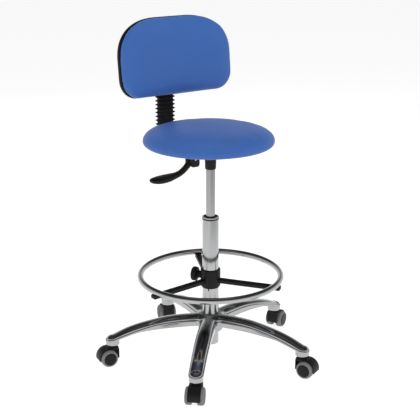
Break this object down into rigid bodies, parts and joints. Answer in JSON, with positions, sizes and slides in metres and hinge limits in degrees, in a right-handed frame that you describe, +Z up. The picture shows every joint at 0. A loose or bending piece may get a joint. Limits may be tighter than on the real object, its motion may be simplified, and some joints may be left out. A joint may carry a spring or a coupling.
{
  "type": "dentist stool",
  "caption": "Height-adjustable stool with a round seat, low curved back, foot ring, release lever and a five-leg base on casters.",
  "frame": {"origin": "on the floor, at the centre of the stool's outline box seen from above", "axes": "+Z up; -Y is the way the sitter faces; the release lever is on the -X side"},
  "size_m": [0.6845, 0.6771, 1.0413],
  "materials": {
    "polished_aluminium": "polished",
    "chrome": "mirror chrome",
    "bright_steel": "ground",
    "zinc_steel": "zinc plated",
    "black_steel": "satin black powder coat",
    "black_plastic": "fine-grained black",
    "black_rubber": "matt black, ribbed",
    "grey_tread": "matt grey",
    "plywood": "unfinished",
    "blue_vinyl": "smooth blue upholstery vinyl"
  },
  "bodies": {
    "base": {"base_star": "polished_aluminium", "column_tube": "chrome", "column_guide_bush": "black_plastic", "column_cap": "chrome", "thrust_bearing": "zinc_steel", "caster_1_stem": "zinc_steel", "caster_2_stem": "zinc_steel", "caster_3_stem": "zinc_steel", "caster_4_stem": "zinc_steel", "caster_5_stem": "zinc_steel"},
    "caster_1": {"caster_1_hood": "black_plastic", "caster_1_axle": "zinc_steel"},
    "caster_1_left_wheel": {"caster_1_wheel_left": "grey_tread"},
    "caster_1_right_wheel": {"caster_1_wheel_right": "grey_tread"},
    "caster_2": {"caster_2_hood": "black_plastic", "caster_2_axle": "zinc_steel"},
    "caster_2_left_wheel": {"caster_2_wheel_left": "grey_tread"},
    "caster_2_right_wheel": {"caster_2_wheel_right": "grey_tread"},
    "caster_3": {"caster_3_hood": "black_plastic", "caster_3_axle": "zinc_steel"},
    "caster_3_left_wheel": {"caster_3_wheel_left": "grey_tread"},
    "caster_3_right_wheel": {"caster_3_wheel_right": "grey_tread"},
    "caster_4": {"caster_4_hood": "black_plastic", "caster_4_axle": "zinc_steel"},
    "caster_4_left_wheel": {"caster_4_wheel_left": "grey_tread"},
    "caster_4_right_wheel": {"caster_4_wheel_right": "grey_tread"},
    "caster_5": {"caster_5_hood": "black_plastic", "caster_5_axle": "zinc_steel"},
    "caster_5_left_wheel": {"caster_5_wheel_left": "grey_tread"},
    "caster_5_right_wheel": {"caster_5_wheel_right": "grey_tread"},
    "rod": {"piston_rod": "bright_steel", "retaining_clip": "zinc_steel"},
    "seat": {"gas_spring_tube": "chrome", "taper_socket": "black_plastic", "seat_plate": "black_steel", "seat_bolt_1": "zinc_steel", "seat_bolt_2": "zinc_steel", "seat_bolt_3": "zinc_steel", "seat_bolt_4": "zinc_steel", "seat_board": "plywood", "seat_cushion": "blue_vinyl", "lever_bracket": "black_plastic", "lever_pivot_pin": "zinc_steel", "bar_guide": "black_steel"},
    "lever": {"release_lever": "black_plastic"},
    "valve": {"valve_pin": "bright_steel"},
    "bar": {"back_bar": "black_steel", "back_bellows": "black_rubber"},
    "depth_knob": {"depth_knob": "black_plastic"},
    "backrest": {"back_carriage": "black_plastic", "backrest_shell": "black_plastic", "backrest_cushion": "blue_vinyl"},
    "back_knob": {"back_knob": "black_plastic"},
    "ring_liner": {"foot_ring_liner": "black_plastic"},
    "foot_ring": {"foot_ring": "chrome", "foot_ring_spider": "black_plastic", "foot_ring_screw_1": "bright_steel", "foot_ring_screw_2": "bright_steel", "foot_ring_screw_3": "bright_steel"},
    "foot_ring_knob": {"foot_ring_knob": "black_plastic"}
  },
  "joints": [
    {"name": "caster_1_swivel", "type": "hinge", "parent": "base", "child": "caster_1", "pos_m": [-0.21761, -0.24607, 0.055], "axis": [0, 0, 1], "continuous": true},
    {"name": "caster_1_left_roll", "type": "hinge", "parent": "caster_1", "child": "caster_1_left_wheel", "pos_m": [-0.23007, -0.25975, 0.0265], "axis": [0.7396, -0.673, 0], "continuous": true},
    {"name": "caster_1_right_roll", "type": "hinge", "parent": "caster_1", "child": "caster_1_right_wheel", "pos_m": [-0.23007, -0.25975, 0.0265], "axis": [0.7396, -0.673, 0], "continuous": true},
    {"name": "caster_2_swivel", "type": "hinge", "parent": "base", "child": "caster_2", "pos_m": [0.14111, -0.28567, 0.055], "axis": [0, 0, 1], "continuous": true},
    {"name": "caster_2_left_roll", "type": "hinge", "parent": "caster_2", "child": "caster_2_left_wheel", "pos_m": [0.14848, -0.30264, 0.0265], "axis": [0.9171, 0.3987, 0], "continuous": true},
    {"name": "caster_2_right_roll", "type": "hinge", "parent": "caster_2", "child": "caster_2_right_wheel", "pos_m": [0.14848, -0.30264, 0.0265], "axis": [0.9171, 0.3987, 0], "continuous": true},
    {"name": "caster_3_swivel", "type": "hinge", "parent": "base", "child": "caster_3", "pos_m": [0.28962, 0.04326, 0.055], "axis": [0, 0, 1], "continuous": true},
    {"name": "caster_3_left_roll", "type": "hinge", "parent": "caster_3", "child": "caster_3_left_wheel", "pos_m": [0.30632, 0.05122, 0.0265], "axis": [-0.4305, 0.9026, 0], "continuous": true},
    {"name": "caster_3_right_roll", "type": "hinge", "parent": "caster_3", "child": "caster_3_right_wheel", "pos_m": [0.30632, 0.05122, 0.0265], "axis": [-0.4305, 0.9026, 0], "continuous": true},
    {"name": "caster_4_swivel", "type": "hinge", "parent": "base", "child": "caster_4", "pos_m": [0.02269, 0.28615, 0.055], "axis": [0, 0, 1], "continuous": true},
    {"name": "caster_4_left_roll", "type": "hinge", "parent": "caster_4", "child": "caster_4_left_wheel", "pos_m": [0.0281, 0.30384, 0.0265], "axis": [-0.9563, 0.2924, 0], "continuous": true},
    {"name": "caster_4_right_roll", "type": "hinge", "parent": "caster_4", "child": "caster_4_right_wheel", "pos_m": [0.0281, 0.30384, 0.0265], "axis": [-0.9563, 0.2924, 0], "continuous": true},
    {"name": "caster_5_swivel", "type": "hinge", "parent": "base", "child": "caster_5", "pos_m": [-0.2908, 0.10733, 0.055], "axis": [0, 0, 1], "continuous": true},
    {"name": "caster_5_left_roll", "type": "hinge", "parent": "caster_5", "child": "caster_5_left_wheel", "pos_m": [-0.3091, 0.11007, 0.0265], "axis": [-0.1478, -0.989, 0], "continuous": true},
    {"name": "caster_5_right_roll", "type": "hinge", "parent": "caster_5", "child": "caster_5_right_wheel", "pos_m": [-0.3091, 0.11007, 0.0265], "axis": [-0.1478, -0.989, 0], "continuous": true},
    {"name": "seat_turn", "type": "hinge", "parent": "base", "child": "rod", "pos_m": [-0.011, -0.019, 0.0635], "axis": [0, 0, 1], "continuous": true},
    {"name": "seat_lift", "type": "slide", "parent": "rod", "child": "seat", "axis": [0, 0, 1], "range_m": [-0.14, 0.06]},
    {"name": "lever_tip", "type": "hinge", "parent": "seat", "child": "lever", "pos_m": [-0.0755, -0.019, 0.6495], "axis": [0, 1, 0], "range_deg": [0, 4], "stiffness_Nm_per_rad": 3, "springref_deg": -8.59},
    {"name": "valve_press", "type": "slide", "parent": "seat", "child": "valve", "axis": [0, 0, 1], "range_m": [-0.0046, 0]},
    {"name": "bar_depth", "type": "slide", "parent": "seat", "child": "bar", "axis": [0, 1, 0], "range_m": [-0.02, 0.03]},
    {"name": "depth_knob_turn", "type": "hinge", "parent": "seat", "child": "depth_knob", "pos_m": [-0.011, 0.076, 0.6335], "axis": [0, 0, 1], "range_deg": [-360, 45]},
    {"name": "back_height", "type": "slide", "parent": "bar", "child": "backrest", "axis": [0, 0, 1], "range_m": [-0.04, 0.05], "deforming": ["back_bellows"]},
    {"name": "back_knob_turn", "type": "hinge", "parent": "backrest", "child": "back_knob", "pos_m": [-0.011, 0.256, 0.8985], "axis": [0, 1, 0], "range_deg": [-360, 45]},
    {"name": "foot_ring_slide", "type": "slide", "parent": "base", "child": "ring_liner", "axis": [0, 0, 1], "range_m": [-0.075, 0.14]},
    {"name": "foot_ring_turn", "type": "hinge", "parent": "ring_liner", "child": "foot_ring", "pos_m": [-0.011, -0.019, 0.2635], "axis": [0, 0, 1], "continuous": true},
    {"name": "foot_ring_knob_turn", "type": "hinge", "parent": "foot_ring", "child": "foot_ring_knob", "pos_m": [-0.04004, 0.02171, 0.2695], "axis": [-0.5807, 0.8141, 0], "range_deg": [-360, 45]}
  ],
  "couplings": [
    {"joint": "valve_press", "follows": "lever_tip", "m_per_rad": -0.0645}
  ]
}
